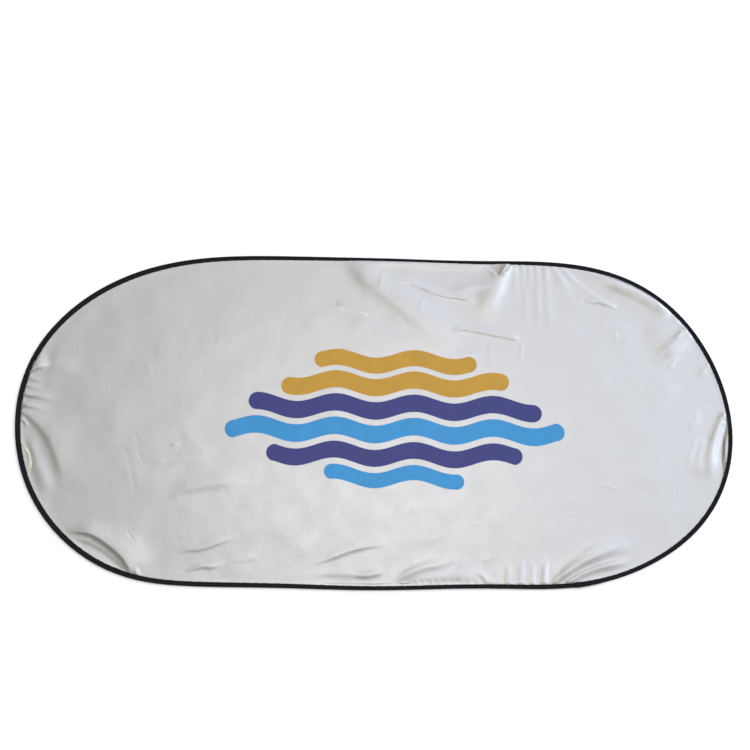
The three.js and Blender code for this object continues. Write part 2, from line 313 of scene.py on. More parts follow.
def seen(points):
    """Part millimetres, at the sheet's height, of places in the camera's 750 x 750 frame."""
    out = []
    for x, y in points:
        ray = right * ((x - 375) / 1218.42) - up * ((y - 375) / 1218.42) + forward
        p = CAM + ray * ((0.0019 - CAM.z) / ray.z)
        out.append((p.x * 1000, p.y * 1000))
    return out


# Folds and creases of the sheet, as places in the frame: the crest's line, its height, how wide it is left and right
# of the line's run (mm), the share of its length over which it rises and dies out, and how its width grows.
FOLDS = [
    # left end
    ([(25, 374), (30, 371.5), (38, 367.5), (52, 361)], 5.0, 26, 6.2, 0.03, 0.5, 0.7, 1.2),
    ([(45, 361), (60, 366), (82, 371)], 1.5, 28, 15, 0.3, 0.5, 1, 1),
    ([(24, 377), (36, 379), (46, 381)], 1.7, 6, 4.5, 0.02, 0.8, 0.8, 1.4),
    ([(22, 385), (34, 386.5), (46, 388)], 1.8, 6, 4.5, 0.02, 0.8, 0.8, 1.4),
    ([(20, 393), (34, 395.5), (62, 398)], 3.0, 8, 5.0, 0.02, 0.8, 0.8, 1.8),
    ([(19, 404), (32, 406), (56, 409)], 2.9, 8, 5.0, 0.02, 0.8, 0.8, 1.8),
    ([(20, 410.5), (30, 417), (39, 425.5), (48, 437), (54.5, 450), (60, 465), (64, 480), (67, 496)],
     2.3, 46, 10.0, 0.02, 0.4, 0.4, 1.3),
    ([(20.5, 417), (24.5, 421.5), (28.5, 427)], 1.1, 3.5, 2.6, 0.05, 0.4, 1, 1),
    ([(27, 430), (31, 442), (34, 455), (39, 469), (45, 483), (53, 497)], 1.5, 14, 11, 0.25, 0.3, 0.7, 1.2),
    # bottom left
    ([(63, 531.5), (77, 532.3), (89, 533.8), (100, 539.2), (108, 544.8), (116, 551), (123, 558), (129, 567),
      (134, 577)], 3.9, 48, 6.8, 0.30, 0.16, 0.25, 0.95),
    ([(72, 541), (88, 545.5), (99, 551.5), (108, 558), (116, 564.5), (123, 571)], -1.2, 5, 9, 0.2, 0.1, 1, 1),
    ([(135, 566), (139, 582)], 1.6, 5, 5, 0.5, 0.02, 1, 1),
    # bottom
    ([(172, 555), (186, 551), (202, 549), (221, 542.5), (241, 534.5)], 1.5, 18, 3.8, 0.4, 0.35, 0.5, 1),
    ([(183, 573), (201, 566.8), (212, 566.8), (228, 562.5)], 1.7, 13, 5.0, 0.4, 0.45, 0.4, 1),
    ([(228, 563.5), (262, 556)], 0.6, 8, 4, 0.4, 0.4, 1, 1),
    ([(308, 565), (322, 561.5), (338, 556), (352, 550.5), (370, 546.5), (392, 544.5)], 1.9, 24, 4.8, 0.42, 0.4, 0.35, 1),
    ([(300, 577), (325, 574), (345, 573.5), (362, 574.5), (386, 571)], 1.4, 9, 7.0, 0.4, 0.25, 0.7, 1),
    ([(352, 576.5), (370, 575.5), (387, 570)], 1.6, 8, 6.0, 0.4, 0.35, 0.7, 1),
    ([(392, 585), (402, 577.5), (412, 572), (426, 567.5), (441, 564), (464, 554)], 2.6, 16, 9.5, 0.3, 0.4, 0.4, 1),
    ([(386, 578.5), (415, 577.5), (450, 577), (488, 577.5)], 1.5, 16, 8, 0.35, 0.2, 1, 1),
    ([(405, 546.5), (428, 541), (452, 535)], 0.7, 15, 7, 0.45, 0.45, 0.7, 1),
    ([(455, 583), (459, 573), (463, 565), (470, 553)], 1.4, 8, 9, 0.3, 0.5, 0.7, 1.1),
    ([(482, 564), (492, 554)], 0.6, 6, 5, 0.45, 0.45, 1, 1),
    ([(476, 570), (484, 577), (492, 585)], 1.3, 7, 6, 0.4, 0.05, 0.6, 1),
    ([(496.5, 585), (497.5, 572), (498, 564)], 1.0, 5, 5, 0.02, 0.6, 1, 1),
    ([(508, 586), (509, 572), (510, 556)], 1.7, 7.5, 5.5, 0.02, 0.6, 1, 1),
    ([(521, 586), (522, 570), (523, 552)], 1.8, 7.5, 5.5, 0.02, 0.6, 1, 1),
    ([(532.5, 586), (533, 570), (534, 554)], 1.7, 7.5, 5.5, 0.02, 0.6, 1, 1),
    ([(544.5, 586), (545.5, 570), (547.5, 552)], 2.5, 7.5, 5.5, 0.02, 0.6, 1, 1),
    ([(554.5, 586), (556, 574), (558, 558)], 0.9, 8, 6.5, 0.02, 0.6, 1, 1),
    # bottom right
    ([(550, 588), (561, 578), (571, 570.5), (582, 563.5), (594, 557.5), (607, 551.5), (621, 546.5), (636, 543)],
     5.8, 24, 11.0, 0.22, 0.55, 0.28, 1.0),
    ([(563, 586), (573, 579.5), (584, 573.5), (597, 568.5), (611, 565), (634, 559)], 3.6, 6.8, 7.6, 0.10, 0.35, 0.65, 1.1),
    ([(566, 560), (580, 554.5), (594, 549), (612, 541.5)], 0.8, 12, 4.6, 0.4, 0.4, 0.7, 1),
    # right end
    ([(725.5, 412), (721, 420), (717, 430), (714, 440), (711.5, 452), (709.5, 466), (708.5, 482)],
     4.2, 11, 10, 0.04, 0.35, 0.55, 1.1),
    ([(705, 436), (700, 455), (697, 478)], 0.8, 7, 6, 0.3, 0.3, 1, 1),
    ([(697, 436), (692, 451), (685, 468)], 0.6, 6, 5, 0.3, 0.3, 1, 1),
    ([(700, 411), (693, 424), (688, 432)], 0.6, 7, 5, 0.3, 0.3, 1, 1),
    ([(727, 417), (723, 427)], 1.0, 2.5, 2.5, 0.1, 0.4, 1, 1),
    ([(699, 520), (706, 512.5)], 1.2, 3, 3, 0.3, 0.2, 1, 1),
    ([(697, 378), (703, 371), (710, 364)], 1.3, 5, 5, 0.5, 0.05, 1, 1),
    ([(667, 372), (672, 364), (678, 356)], 0.8, 4, 4, 0.4, 0.4, 1, 1),
    ([(673, 341), (683, 330)], 1.2, 3, 4, 0.4, 0.3, 1, 1),
    ([(692, 324), (683, 335), (672, 346), (661, 356), (650, 365)], 4.4, 13, 13, 0.15, 0.45, 0.8, 1.1),
    ([(640, 333), (655, 333), (668, 329), (682, 320)], 2.6, 15, 34, 0.35, 0.12, 1, 1),
    # top right
    ([(576, 272), (602, 279.5), (625, 288), (645, 298), (660, 306.5), (673, 317)], 7.3, 11, 19.5, 0.4, 0.2, 0.85, 1),
    ([(582, 302.5), (592, 302), (603, 303.5), (618, 309)], 1.6, 7, 3.2, 0.25, 0.2, 1, 1),
    ([(552, 266), (562, 282), (572, 297)], 1.5, 8, 8, 0.03, 0.5, 0.8, 1.4),
    ([(560, 266), (571, 278), (583, 288), (600, 300), (617, 310)], 1.1, 6.5, 6.5, 0.03, 0.4, 0.9, 1.3),
    ([(565, 302), (576, 304), (586, 302)], 1.0, 7, 3, 0.3, 0.3, 1, 1),
    ([(586, 328), (611, 329), (640, 327)], 0.5, 6, 3, 0.3, 0.3, 1, 1),
    ([(615, 329), (617, 345)], 0.5, 3, 3, 0.2, 0.2, 1, 1),
    ([(616, 341), (636, 342)], 0.4, 5, 3, 0.3, 0.3, 1, 1),
    ([(566, 327), (576, 333), (588, 341)], 0.5, 5, 3, 0.3, 0.3, 1, 1),
    ([(515, 264), (515.5, 280), (515, 308)], 1.0, 6.2, 6.2, 0.02, 0.9, 0.9, 1.7),
    ([(522.5, 264), (523, 278), (524, 302)], 0.75, 5.2, 5.2, 0.02, 0.9, 0.9, 1.6),
    ([(529.5, 264), (530, 278), (531.5, 302)], 0.8, 5.2, 5.2, 0.02, 0.9, 0.9, 1.6),
    ([(536.5, 264), (537.5, 282), (539, 312)], 1.05, 6.2, 6.2, 0.02, 0.9, 0.9, 1.7),
    ([(545, 264), (546.5, 282), (549, 312)], 1.15, 6.8, 6.8, 0.02, 0.9, 0.9, 1.7),
    ([(525, 285), (526, 305), (525, 330)], 0.8, 8, 7, 0.3, 0.5, 1, 1),
    ([(536, 285), (538, 310), (538, 338)], 0.8, 7, 7, 0.3, 0.5, 1, 1),
    ([(546, 290), (549, 315), (552, 340)], 0.8, 8, 8, 0.3, 0.5, 1, 1),
    # top middle
    ([(508, 264), (504, 271), (499, 281), (494, 292), (488, 305), (481, 324)], 5.4, 19, 28, 0.02, 0.4, 0.65, 1.15),
    ([(510.5, 262), (505, 270), (498, 278.5)], 4.2, 4.2, 8.5, 0.02, 0.35, 1.2, 0.4),
    ([(483, 266.5), (491, 272), (497, 278)], 1.0, 3, 3, 0.2, 0.2, 1, 1),
    ([(362, 262.5), (400, 263.3), (440, 264.7), (488, 266.5)], 2.2, 3, 8, 0.2, 0.1, 1, 1),
    ([(343, 256), (353, 265), (367, 277), (388, 293), (413, 312), (440, 333), (462, 351)], 6.8, 46, 31, 0.22, 0.35, 0.6, 1.15),
    ([(345, 310), (370, 325), (395, 341), (415, 352)], 1.3, 16, 26, 0.3, 0.3, 1, 1),
    ([(386, 278), (405, 282), (425, 289), (442, 295), (462, 298), (482, 302)], 2.5, 14, 5.4, 0.3, 0.2, 0.7, 1),
    ([(440, 295), (460, 290), (478, 286), (495, 283)], 1.6, 14, 9, 0.55, 0.2, 0.8, 1),
    ([(383, 273), (381, 283), (379, 291)], 0.5, 5, 4, 0.2, 0.3, 1, 1),
    ([(424, 298), (421, 305), (420, 314)], 0.5, 4, 3, 0.2, 0.3, 1, 1),
    ([(455, 337), (460, 329.5), (475, 331), (498, 335.5), (521, 340)], 1.8, 10, 3.8, 0.12, 0.1, 0.8, 1),
    ([(521, 340), (521.5, 350), (520, 361)], 0.7, 3, 3, 0.1, 0.3, 1, 1),
    ([(452, 352), (466, 354.5), (484, 353.5)], 0.6, 6, 3, 0.3, 0.3, 1, 1),
    ([(489, 341), (491, 356), (493, 374)], 0.6, 6, 4, 0.2, 0.4, 1, 1),
    ([(334, 304), (343, 306), (360, 311), (376, 317)], 1.3, 9, 3.6, 0.2, 0.4, 1, 1),
    # middle
    ([(166, 499), (186, 488.5), (215, 484), (250, 478)], 2.0, 22, 10, 0.3, 0.4, 1, 1),
    ([(164, 468), (182, 461), (204, 458)], 0.6, 12, 6, 0.3, 0.4, 1, 1),
    ([(170, 446), (175, 444.5), (180, 446)], 0.6, 4, 2.5, 0.3, 0.3, 1, 1),
    ([(123, 445), (128, 460), (132, 476), (136, 495)], -0.26, 2.8, 2.6, 0.15, 0.2, 1, 1),
    ([(134, 430), (138, 442)], -0.3, 2, 2, 0.2, 0.2, 1, 1),
    ([(138, 450), (143, 465)], -0.3, 2, 2, 0.2, 0.2, 1, 1),
    ([(141, 409), (145, 422)], -0.3, 2, 2, 0.2, 0.2, 1, 1),
    ([(131, 478), (138, 500)], -0.25, 2, 2, 0.2, 0.2, 1, 1),
    ([(601, 487), (610, 486), (617, 489.5), (623, 488)], 0.35, 3, 2, 0.2, 0.2, 1, 1),
    ([(562, 519), (568, 515), (578, 514)], 0.35, 3, 2, 0.2, 0.2, 1, 1),
    ([(470, 525), (478, 524), (484, 528)], 0.3, 3, 2, 0.2, 0.2, 1, 1),
    ([(127, 530), (133, 540)], -0.3, 2, 2, 0.2, 0.2, 1, 1),
]
FOLDS = [(seen(f[0]), *f[1:]) for f in FOLDS]

# Gathers along the bottom between the two wide folds
for x in (417, 424, 432, 439.5, 447, 455, 462.5, 470, 477.5, 486, 494, 500):
    FOLDS.append((seen([(x, 585), (x + rng.uniform(-1, 1), 577.5)]), rng.uniform(0.5, 0.9), 3.0, 2.8, 0.02, 0.7, 1, 1))


LARGE = np.vstack([catmull(f[0], 8) for f in FOLDS if abs(f[1]) >= 0.8])


def strew(count, size, height, width, seed):
    """Small creases from handling, in loose bundles that run roughly the same way."""
    g = np.random.default_rng(seed)
    made = []
    while len(made) < count:
        c = np.array([g.uniform(-700, 700), g.uniform(-330, 330)])
        way = g.choice([1.45, 1.75, 0.35, -0.5, 2.6]) + g.normal(0, 0.15)
        for _ in range(g.integers(1, 6)):
            q = c + g.normal(0, 16, 2)
            w = way + g.normal(0, 0.12)
            n = size * g.uniform(0.5, 1.6)
            d = np.array([math.cos(w), math.sin(w)])
            side = np.array([-d[1], d[0]])
            bend = g.normal(0, 0.08) * n
            line = [q - d * n / 2, q + side * bend, q + d * n / 2]
            if any(np.hypot(*(LARGE - e).T).min() < 17 for e in line):
                continue
            h = height * g.uniform(0.4, 1.2) * g.choice([1, 1, -1])
            made.append((line, h, width * g.uniform(0.8, 2.2), width * g.uniform(0.8, 1.3), 0.3, 0.3, 1, 1))
    return made


HANDLING = strew(230, 26, 0.20, 2.0, 21)
FOLDS += HANDLING


def folds_height(xy, folds):
    z = np.zeros(len(xy))
    for pts, height, wl, wr, start, end, grow0, grow1 in folds:
        line = catmull(pts)
        seg = np.hypot(*np.diff(line, axis=0).T)
        along = np.r_[0, np.cumsum(seg)]
        reach = 3.0 * max(wl, wr) * max(grow0, grow1)
        lo, hi = line.min(0) - reach, line.max(0) + reach
        near = np.flatnonzero(((xy > lo) & (xy < hi)).all(1))
        if not len(near):
            continue
        p = xy[near]
        best, side, place = np.full(len(p), 1e9), np.zeros(len(p)), np.zeros(len(p))
        for i in range(len(line) - 1):
            a, v = line[i], line[i + 1] - line[i]
            t = np.clip(((p - a) @ v) / (v @ v), 0, 1)
            w = p - a - t[:, None] * v
            d = np.hypot(*w.T)
            closer = d < best
            best = np.where(closer, d, best)
            side = np.where(closer, v[0] * w[:, 1] - v[1] * w[:, 0], side)
            place = np.where(closer, along[i] + t * seg[i], place)
        f = place / along[-1]
        width = np.where(side > 0, wl, wr) * (grow0 + (grow1 - grow0) * f)
        rise = smooth(f / max(start, 1e-3)) * smooth((1 - f) / max(end, 1e-3))
        z[near] += height * rise * np.exp(-((best / width) ** 2))
    return z


def spectral(shape, pitch, low, high, seed):
    """A smooth random field with wavelengths from low to high mm, mean square 1."""
    g = np.random.default_rng(seed)
    f = np.fft.rfft2(g.standard_normal(shape))
    ky = np.fft.fftfreq(shape[0], pitch)[:, None]
    kx = np.fft.rfftfreq(shape[1], pitch)[None, :]
    k = np.hypot(kx, ky)
    f *= np.exp(-((np.log(np.maximum(k, 1e-9) * math.sqrt(low * high)) / math.log(math.sqrt(high / low))) ** 2))
    out = np.fft.irfft2(f, shape)
    return out / out.std()


GRID = 4.0
GX, GY = np.arange(-760, 760.1, GRID), np.arange(-400, 400.1, GRID)


def sample(field, xy, gx=GX, gy=GY):
    """Bicubic look-up of a field on a square grid (rows are y)."""
    fx = (xy[:, 0] - gx[0]) / (gx[1] - gx[0])
    fy = (xy[:, 1] - gy[0]) / (gx[1] - gx[0])
    ix, iy = np.floor(fx).astype(int), np.floor(fy).astype(int)
    tx, ty = fx - ix, fy - iy

    def weights(t):
        return [(1 - t) ** 3 / 6, (3 * t ** 3 - 6 * t ** 2 + 4) / 6, (-3 * t ** 3 + 3 * t ** 2 + 3 * t + 1) / 6, t ** 3 / 6]

    wx, wy = weights(tx), weights(ty)
    z = np.zeros(len(xy))
    for a in range(4):
        for b in range(4):
            z += wy[a] * wx[b] * field[np.clip(iy + a - 1, 0, len(gy) - 1), np.clip(ix + b - 1, 0, len(gx) - 1)]
    return z


broad = spectral((len(GY), len(GX)), GRID, 70, 260, 11)
middle = spectral((len(GY), len(GX)), GRID, 28, 75, 12)
small = spectral((len(GY), len(GX)), GRID, 12, 30, 13)


def under_loops(arc, inward):
    """1 away from the elastic loops, 0 beneath them."""
    keep = np.ones(len(arc))
    for a, b, bulge, _ in LOOPS:
        t = np.mod(arc - a, AROUND) / (b - a)
        d = loop_inset(t, bulge) + LOOP_W / 2
        inside = (t > 0) & (t < 1)
        keep = np.where(inside, np.minimum(keep, smooth((inward - d + 1) / 7)), keep)
    return keep


def sheet_height(xy, arc, inward, folds, uneven=1.0):
    """Height of the sheet's middle at points, with their arc and distance inward from the wire's line."""
    tip = front_leg(arc) - EDGE
    free = inward - tip                            # beyond the binding's leg
    calm = smooth((free + 1.0) / 22.0) * uneven
    z = SHEET_Z + calm * (0.22 * sample(broad, xy) + 0.05 * sample(middle, xy) + 0.018 * sample(small, xy))
    z += smooth((free + 1.5) / 4.0) * under_loops(arc, inward) * folds_height(xy, folds)
    return off_floor(z)


def off_floor(z, low=0.32):
    """Heights eased up to stay above the floor."""
    return low + np.logaddexp(0, (z - low) * 5.0) / 5.0


def sheet_points():
    """Points of the front face and which of them the back face has too: a hexagonal lattice, finer where it folds."""
    ring_arcs = np.linspace(0, AROUND, int(AROUND / 3.2), endpoint=False)
    rows = [at(ring_arcs, -SHEET_EDGE, 0.0)[:, :2], at(ring_arcs + 1.6, -4.4, 0.0)[:, :2], at(ring_arcs, -6.6, 0.0)[:, :2]]
    dy = FINE * math.sqrt(3) / 2
    ny, nx = int(380 / dy) + 1, int(750 / FINE) + 1
    j, i = np.meshgrid(np.arange(-ny, ny + 1), np.arange(-nx, nx + 1), indexing="ij")
    i, j = i.ravel(), j.ravel()
    p = np.stack([i * FINE + (j % 2) * FINE / 2, j * dy], 1)
    # the lattice's own sublattices, at twice and four times the pitch
    half = (j % 2 == 0) & ((i + (j // 2) % 2) % 2 == 0)
    jj, ii = j // 2, (i + (j // 2) % 2) // 2
    quarter = half & (jj % 2 == 0) & ((ii + (jj // 2) % 2) % 2 == 0)
    arc, inward = edge_of(p)
    inside = inward > 8.2
    p, half, quarter, arc, inward = p[inside], half[inside], quarter[inside], arc[inside], inward[inside]
    sharp = [(f[0], 1.0, f[2] * 1.25, f[3] * 1.25, 0.01, 0.01, f[6], f[7]) for f in FOLDS if min(f[2], f[3]) < 7 and abs(f[1]) > 0.28]
    detail = folds_height(p, sharp)
    fine = (detail > 0.3) | (inward < 14)
    front = half | fine
    rear = quarter | (half & ((detail > 0.12) | (inward < 24))) | (fine & (detail > 1.1))
    edge = np.ones(len(rows[0]) * 3, bool)
    return (np.vstack(rows + [p[front]]), np.r_[edge, rear[front]], len(rows[0]))


def triangulate(xy, n_edge):
    loop = [(i, (i + 1) % n_edge) for i in range(n_edge)]
    out = delaunay_2d_cdt([Vector(p) for p in xy], loop, [], 1, 1e-5)
    if len(out[0]) != len(xy):
        raise SystemExit("the sheet's points merged")
    back_to = np.empty(len(xy), int)
    for new, olds in enumerate(out[3]):
        back_to[new] = olds[0]
    tris = back_to[np.array([f[:] for f in out[2]])]
    turn = np.cross(xy[tris[:, 1]] - xy[tris[:, 0]], xy[tris[:, 2]] - xy[tris[:, 0]]) < 0
    tris[turn] = tris[turn][:, ::-1]
    return tris


# The folds above are drawn into a sheet held level. A cloth simulation then lets it go: gravity brings the middle
# down to the floor and settles the folds, with the binding holding the edge.
NET = 9.0                                          # pitch of the simulated net, mm
ENLARGED = 10.0                                    # it is simulated enlarged, where the solver's distances suit it
FRAMES = 20
NX, NY = np.arange(-83, 84) * NET, np.arange(-42, 43) * NET


def settle():
    """How far each node of the net moves (rows, columns, 3; mm)."""
    gx, gy = np.meshgrid(NX, NY)
    nodes = np.column_stack([gx.ravel(), gy.ravel()])
    _, inward = edge_of(nodes)
    inside = np.flatnonzero(inward > 6.5)
    ring = at(np.linspace(0, AROUND, int(AROUND / NET), endpoint=False), -SHEET_EDGE, 0.0)[:, :2]
    xy = np.vstack([ring, nodes[inside]])
    arc, inward = edge_of(xy)
    wide = [f for f in FOLDS if abs(f[1]) >= 0.8 and min(f[2], f[3]) >= 4.4]
    start = np.column_stack([xy, sheet_height(xy, arc, inward, wide, 0.0)])
    net = make_mesh("net", start * ENLARGED, [triangulate(xy, len(ring))])
    held = net.vertex_groups.new(name="held")
    fixed = inward < front_leg(arc) - EDGE + 1.0
    held.add([int(i) for i in np.flatnonzero(fixed)], 1.0, "REPLACE")
    bpy.ops.mesh.primitive_plane_add(size=40)
    ground = bpy.context.object
    ground.modifiers.new("Collision", "COLLISION")
    ground.collision.thickness_outer = 0.001
    ground.collision.cloth_friction = 12
    ground.location.z = 0.0032 - 0.003
    mod = net.modifiers.new("Cloth", "CLOTH")
    c = mod.settings
    c.quality = 8
    c.mass = 0.05
    c.air_damping = 0.5
    c.tension_stiffness = c.compression_stiffness = 1500
    c.tension_damping = c.compression_damping = 40
    c.shear_stiffness = 300
    c.bending_model = "ANGULAR"
    c.bending_stiffness = 0.5
    c.bending_damping = 0.5
    c.vertex_group_mass = "held"
    c.effector_weights.gravity = 1.0
    mod.collision_settings.use_collision = True
    mod.collision_settings.use_self_collision = False
    mod.collision_settings.distance_min = 0.002
    mod.point_cache.frame_start, mod.point_cache.frame_end = 1, FRAMES
    for f in range(1, FRAMES + 1):
        scene.frame_set(f)
    shape = net.evaluated_get(bpy.context.evaluated_depsgraph_get()).data
    co = np.empty(len(xy) * 3, np.float32)
    shape.vertices.foreach_get("co", co)
    moved = co.reshape(-1, 3).astype(float) / (0.001 * ENLARGED) - start
    scene.frame_set(1)
    for o in (net, ground):
        data = o.data
        bpy.data.objects.remove(o)
        bpy.data.meshes.remove(data)
    print("SETTLED down %.3f up %.3f aside %.3f mean %.4f" % (
        moved[:, 2].min(), moved[:, 2].max(), np.hypot(moved[:, 0], moved[:, 1]).max(), moved[:, 2].mean()))
    moved = np.clip(moved, (-3, -3, -1.2), (3, 3, 1.0))
    out = np.zeros((len(NY) * len(NX), 3))
    out[inside] = moved[len(ring):]
    out = out.reshape(len(NY), len(NX), 3)
    # the net's own short waves are no folds of the cloth
    reach = np.arange(-5, 6)
    soft = np.exp(-(reach * NET / 14.0) ** 2)
    for axis in (0, 1):
        out = sum(w * np.roll(out, k, axis) for k, w in zip(reach, soft)) / soft.sum()
    return out


SETTLED = settle()


def build_sheet():
    flat, rear, n_edge = sheet_points()
    arc, inward = edge_of(flat)
    xy, z = flat, sheet_height(flat, arc, inward, FOLDS)
    if SETTLED is not None:
        loose = smooth((inward - front_leg(arc) + EDGE) / 6.0)
        moved = np.column_stack([sample(SETTLED[:, :, k], flat, NX, NY) * loose for k in range(3)])
        xy, z = flat + moved[:, :2], off_floor(z + moved[:, 2])
    half = 0.13
    front = triangulate(flat, n_edge)
    keep = np.flatnonzero(rear)
    back = triangulate(flat[keep], n_edge)
    n = len(xy)
    k = np.arange(n_edge)
    k1 = (k + 1) % n_edge
    walls = np.column_stack([k1, k, k + n, k1 + n])
    verts = np.vstack([np.column_stack([xy, z + half]), np.column_stack([xy[keep], z[keep] - half])])
    faces = [front, back[:, ::-1] + n, walls]
    # the flat cut, in metres, for the weave; and the two faces side by side for baking
    cut = np.vstack([flat, flat[keep]]) * 0.001
    u = (cut[:, 0] + 0.726) / 1.452
    v = (cut[:, 1] + 0.355) / 0.71
    v = np.r_[0.005 + 0.49 * v[:n], 0.505 + 0.49 * v[n:]]
    slots = np.concatenate([np.zeros(len(front)), np.ones(len(back)), np.ones(len(walls))])
    return make_mesh("shade_cloth", verts, faces, uvs={"cut": cut, "OFBake": np.column_stack([u, v])}, slots=slots)


cloth = build_sheet()
print("CLOTH", len(cloth.data.vertices), len(cloth.data.polygons))

# =================================================================================================================
# The binding
# =================================================================================================================
_ripple = np.random.default_rng(31)
RIPPLES = [(_ripple.integers(90, 460), _ripple.uniform(0, 6.28), _ripple.uniform(0.4, 1.0)) for _ in range(26)]


def ripple(arc, part):
    """A fixed wobble of about +-1 round the hoop; part picks one of two."""
    w = sum(a * math.sin(arc / AROUND * 2 * math.pi * n + p) for n, p, a in RIPPLES[part::2])
    return w / 2.2


def tape_line(arc, grow=0.0):
    """Middle line of the folded tape at one arc, from the front tip round the wire to the back tip: (s, z)."""
    sw, h = float(swell(arc)), float(lift(arc))
    r = 1.62 + 0.755 * sw + grow
    zc = 1.62 + 0.755 * sw + TAPE_T / 2
    f0 = float(front_leg(arc))
    front = EDGE - f0 + 0.22 * ripple(arc, 0)
    back = EDGE - (TAPE_REACH - f0) + 0.15 * ripple(arc, 1)
    seam = float(seam_at(arc))
    zu = SHEET_Z + 0.27 + TAPE_T / 2 + grow
    zl = SHEET_Z - 0.27 - TAPE_T / 2 - grow
    knee = -2.75
    u = np.linspace(0, 1, 10)
    s_leg = front + (knee - front) * u
    tip = np.exp(-(((s_leg - front) / 0.9) ** 2))
    z_leg = zu + h - 0.13 * np.exp(-(((s_leg - seam) / 0.75) ** 2)) * min(1, abs(front - knee) / 4)
    z_leg += (0.10 + 0.10 * ripple(arc, 1)) * tip + 0.10 * ripple(arc, 0) * np.exp(-(((u - 0.55) / 0.3) ** 2))
    z_leg = np.maximum(z_leg, zu + h - 0.14)
    a0 = math.radians(128 - 22 * min(1, h / 1.15))
    a1 = -math.radians(142)
    ang = np.linspace(a0, a1, 15)
    back_s = knee + (back - knee) * np.linspace(0, 1, 6)
    return np.vstack([
        np.column_stack([s_leg, z_leg]),
        np.column_stack([r * np.cos(ang), zc + r * np.sin(ang)]),
        np.column_stack([back_s, np.full(6, zl)]),
    ])


def tape_section(arc, grow=0.0, thick=TAPE_T):
    line = tape_line(arc, grow)
    d = np.diff(line, axis=0)
    nrm = np.stack([-d[:, 1], d[:, 0]], 1) / np.hypot(*d.T)[:, None]
    vn = np.vstack([nrm[:1], nrm[:-1] + nrm[1:], nrm[-1:]])
    vn = vn / np.hypot(*vn.T)[:, None]
    scale = np.ones(len(line))
    scale[1:-1] = 1 / np.clip((vn[1:-1] * nrm[:-1]).sum(1), 0.6, 1)
    off = vn * scale[:, None] * thick / 2
    outer, inner = line + off, line - off
    e0 = line[0] + (line[0] - line[1]) / np.hypot(*(line[0] - line[1])) * thick * 0.35
    e1 = line[-1] + (line[-1] - line[-2]) / np.hypot(*(line[-1] - line[-2])) * thick * 0.35
    across = np.r_[0, np.cumsum(np.hypot(*d.T))]
    sec = np.vstack([outer, [e1], inner[::-1], [e0]])
    return sec, np.r_[across, across[-1], across[::-1], 0]


def build_binding(name, a, b, closed, grow=0.0, thick=TAPE_T, step=3.4, floor_at=0.02):
    n = max(2, int((b - a) / step))
    arcs = np.linspace(a, b, n, endpoint=not closed)
    rows, uv = [], []
    for arc in arcs:
        sec, v = tape_section(arc, grow, thick)
        rows.append(at(np.full(len(sec), arc), sec[:, 0], sec[:, 1]))
        uv.append(np.column_stack([np.full(len(v), arc), v]) * 0.001)
    rows = np.array(rows)
    rows[:, :, 2] = np.maximum(rows[:, :, 2], floor_at)
    return sweep(name, rows, closed, uvs={"tape": np.array(uv)})


binding = build_binding("binding", 0, AROUND, True)
# the tape's end, turned under and sewn over its start
lap = build_binding("binding_lap", LAP_ARC - 1, LAP_ARC + 27, False, grow=0.55, thick=0.46, step=1.6, floor_at=0.0)
print("BINDING", len(binding.data.vertices), len(binding.data.polygons))

# =================================================================================================================
# Stitches
# =================================================================================================================
def stitches(name, p, q, width, height, up_way, arch):
    """Short arched thread pieces from p to q (n x 3, mm)."""
    t = np.array([0, 0.10, 0.3, 0.5, 0.7, 0.90, 1.0])
    fat = np.array([0.25, 0.8, 1.0, 1.0, 1.0, 0.8, 0.25])
    rise = arch * np.sin(np.pi * t) ** 0.6
    run = q - p
    side = np.stack([-run[:, 1], run[:, 0], np.zeros(len(p))], 1)
    side /= np.linalg.norm(side, axis=1)[:, None]
    ang = np.arange(6) / 6 * 2 * math.pi
    c, s_ = np.cos(ang) * width / 2, np.sin(ang) * height / 2
    pts = p[:, None, None, :] + run[:, None, None, :] * t[None, :, None, None]
    pts = pts + side[:, None, None, :] * (fat[:, None] * c[None, :])[None, :, :, None]
    z = (fat[:, None] * s_[None, :] + rise[:, None]) * up_way
    pts = pts + np.array([0, 0, 1.0]) * z[None, :, :, None]
    n, m, k = len(p), len(t), 6
    base = (np.arange(n) * m * k)[:, None, None]
    i = np.arange(m - 1)[None, :, None]
    j = np.arange(k)[None, None, :]
    j1 = (j + 1) % k
    quads = np.stack([base + i * k + j, base + i * k + j1, base + (i + 1) * k + j1, base + (i + 1) * k + j], -1).reshape(-1, 4)
    first = np.arange(n)[:, None] * m * k + np.arange(k)[None, ::-1]
    last = np.arange(n)[:, None] * m * k + (m - 1) * k + np.arange(k)[None, :]
    faces = [quads, first, last]
    v = pts.reshape(-1, 3)
    a, b, c_, d = (v[quads[:, x]] for x in range(4))
    if (a * np.cross(b, c_)).sum() + (a * np.cross(c_, d)).sum() < 0:
        faces = [f[:, ::-1] for f in faces]
    return make_mesh(name, v, faces)


def seam_line(pitch, part, top):
    n = int(AROUND / pitch)
    arcs = np.linspace(0, AROUND, n, endpoint=False)
    s_ = seam_at(arcs) + 0.10 * np.sin(arcs / 47.0) + part
    z = (SHEET_Z + 0.27 + TAPE_T + lift(arcs) - 0.11) if top else np.full(n, SHEET_Z - 0.27 - TAPE_T + 0.02)
    grown = (np.abs(away(arcs, LAP_ARC + 13)) < 13.6)
    z = z + (0.53 if top else -0.5) * grown
    return arcs, s_, z


